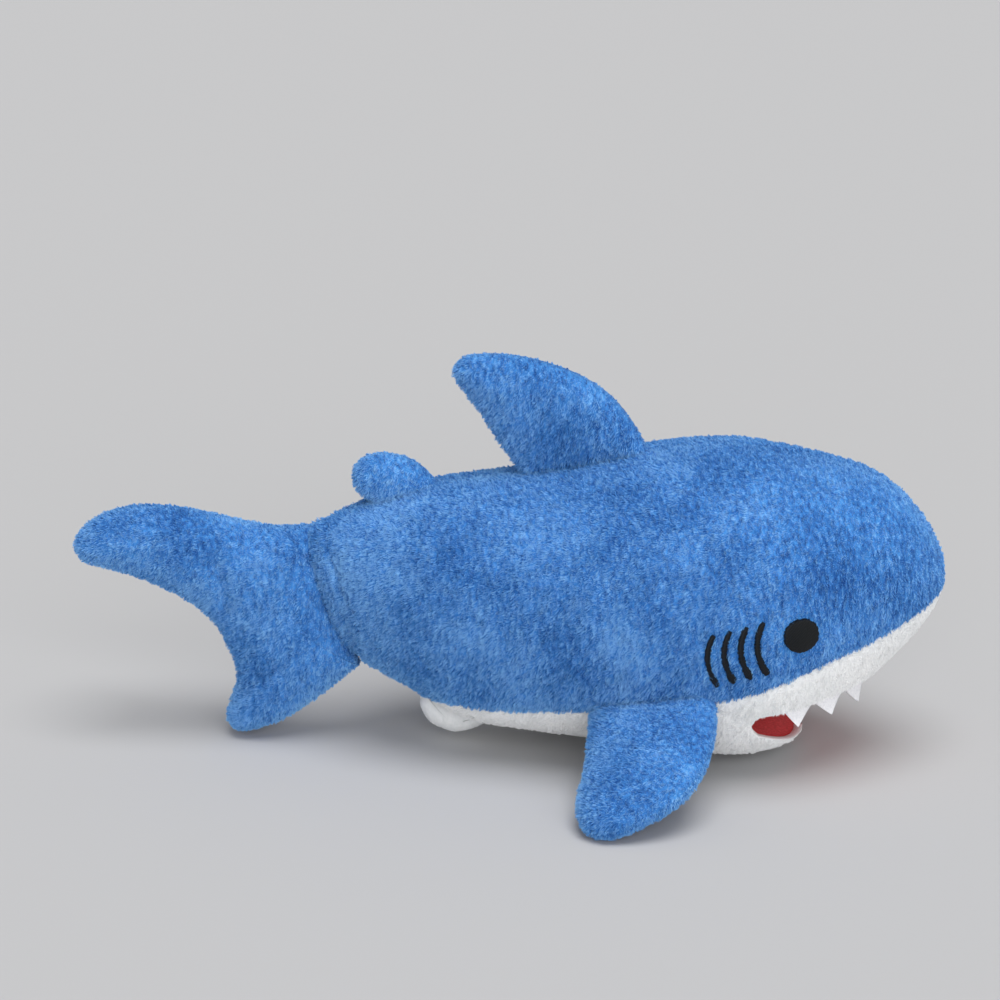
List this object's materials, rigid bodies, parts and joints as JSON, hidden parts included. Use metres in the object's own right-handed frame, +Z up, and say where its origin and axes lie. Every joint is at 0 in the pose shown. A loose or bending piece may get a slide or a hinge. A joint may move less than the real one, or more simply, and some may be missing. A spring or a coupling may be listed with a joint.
{
  "type": "plush shark",
  "caption": "Stuffed plush shark with a blue back, white belly and snout, embroidered eyes and gills, felt teeth and an open red-lined mouth; fins, tail and jaw bend and spring back.",
  "frame": {"origin": "middle of the toy's bounding box in plan, on the surface it rests on", "axes": "+X from tail to nose, the longest extent; +Y to the shark's left; +Z up"},
  "size_m": [0.3026, 0.1806, 0.1415],
  "materials": {
    "blue_plush": "short pile plush",
    "white_plush": "short pile plush",
    "red_lining": "smooth brushed knit",
    "felt": "pressed felt",
    "embroidery": "satin stitch thread",
    "thread": "hand sewing thread",
    "stuffing": "polyester fibre"
  },
  "bodies": {
    "body": {"body_stuffing": "stuffing", "head_stuffing": "stuffing", "body_side_right": "blue_plush", "body_side_left": "blue_plush", "belly_panel": "white_plush", "snout_panel": "white_plush", "palate_lining": "red_lining", "upper_teeth": "felt", "eye_right": "embroidery", "eye_left": "embroidery", "gills_right": "embroidery", "gills_left": "embroidery", "closing_stitches": "thread"},
    "lower_jaw": {"chin_panel": "white_plush", "mouth_floor_lining": "red_lining", "chin_stuffing": "stuffing"},
    "dorsal_fin": {"dorsal_fin_right": "blue_plush", "dorsal_fin_left": "blue_plush", "dorsal_fin_stuffing": "stuffing"},
    "rear_dorsal_fin": {"rear_dorsal_fin_right": "blue_plush", "rear_dorsal_fin_left": "blue_plush", "rear_dorsal_fin_stuffing": "stuffing"},
    "anal_fin": {"anal_fin_right": "white_plush", "anal_fin_left": "white_plush", "anal_fin_stuffing": "stuffing"},
    "pectoral_fin_right": {"pectoral_fin_right_top": "blue_plush", "pectoral_fin_right_bottom": "blue_plush", "pectoral_fin_right_stuffing": "stuffing"},
    "pectoral_fin_left": {"pectoral_fin_left_top": "blue_plush", "pectoral_fin_left_bottom": "blue_plush", "pectoral_fin_left_stuffing": "stuffing"},
    "tail": {"tail_right": "blue_plush", "tail_left": "blue_plush", "tail_stuffing": "stuffing"}
  },
  "joints": [
    {"name": "jaw_press", "type": "hinge", "parent": "body", "child": "lower_jaw", "pos_m": [0.08925, 0, 0.01], "axis": [0, 1, 0], "range_deg": [-8, 10], "stiffness_Nm_per_rad": 0.05},
    {"name": "dorsal_fin_bend", "type": "hinge", "parent": "body", "child": "dorsal_fin", "pos_m": [0.00425, 0, 0.10084], "axis": [0.9791, 0, 0.2036], "range_deg": [-30, 30], "stiffness_Nm_per_rad": 0.05},
    {"name": "rear_dorsal_fin_bend", "type": "hinge", "parent": "body", "child": "rear_dorsal_fin", "pos_m": [-0.04575, 0, 0.08736], "axis": [0.9465, 0, 0.3226], "range_deg": [-30, 30], "stiffness_Nm_per_rad": 0.02},
    {"name": "anal_fin_bend", "type": "hinge", "parent": "body", "child": "anal_fin", "pos_m": [-0.03075, 0, 0.0151], "axis": [0.9579, 0, -0.2872], "range_deg": [-15, 15], "stiffness_Nm_per_rad": 0.01},
    {"name": "pectoral_fin_right_lift", "type": "hinge", "parent": "body", "child": "pectoral_fin_right", "pos_m": [0.03125, -0.03537, 0.0237], "axis": [-0.9538, 0.2185, -0.2061], "range_deg": [0, 40], "stiffness_Nm_per_rad": 0.08},
    {"name": "pectoral_fin_left_lift", "type": "hinge", "parent": "body", "child": "pectoral_fin_left", "pos_m": [0.03125, 0.03537, 0.0237], "axis": [0.9538, 0.2185, 0.2061], "range_deg": [0, 40], "stiffness_Nm_per_rad": 0.08},
    {"name": "tail_swing", "type": "hinge", "parent": "body", "child": "tail", "pos_m": [-0.05875, 0, 0.05], "axis": [-0.319, 0, 0.9478], "range_deg": [-32, 32], "stiffness_Nm_per_rad": 0.1}
  ]
}
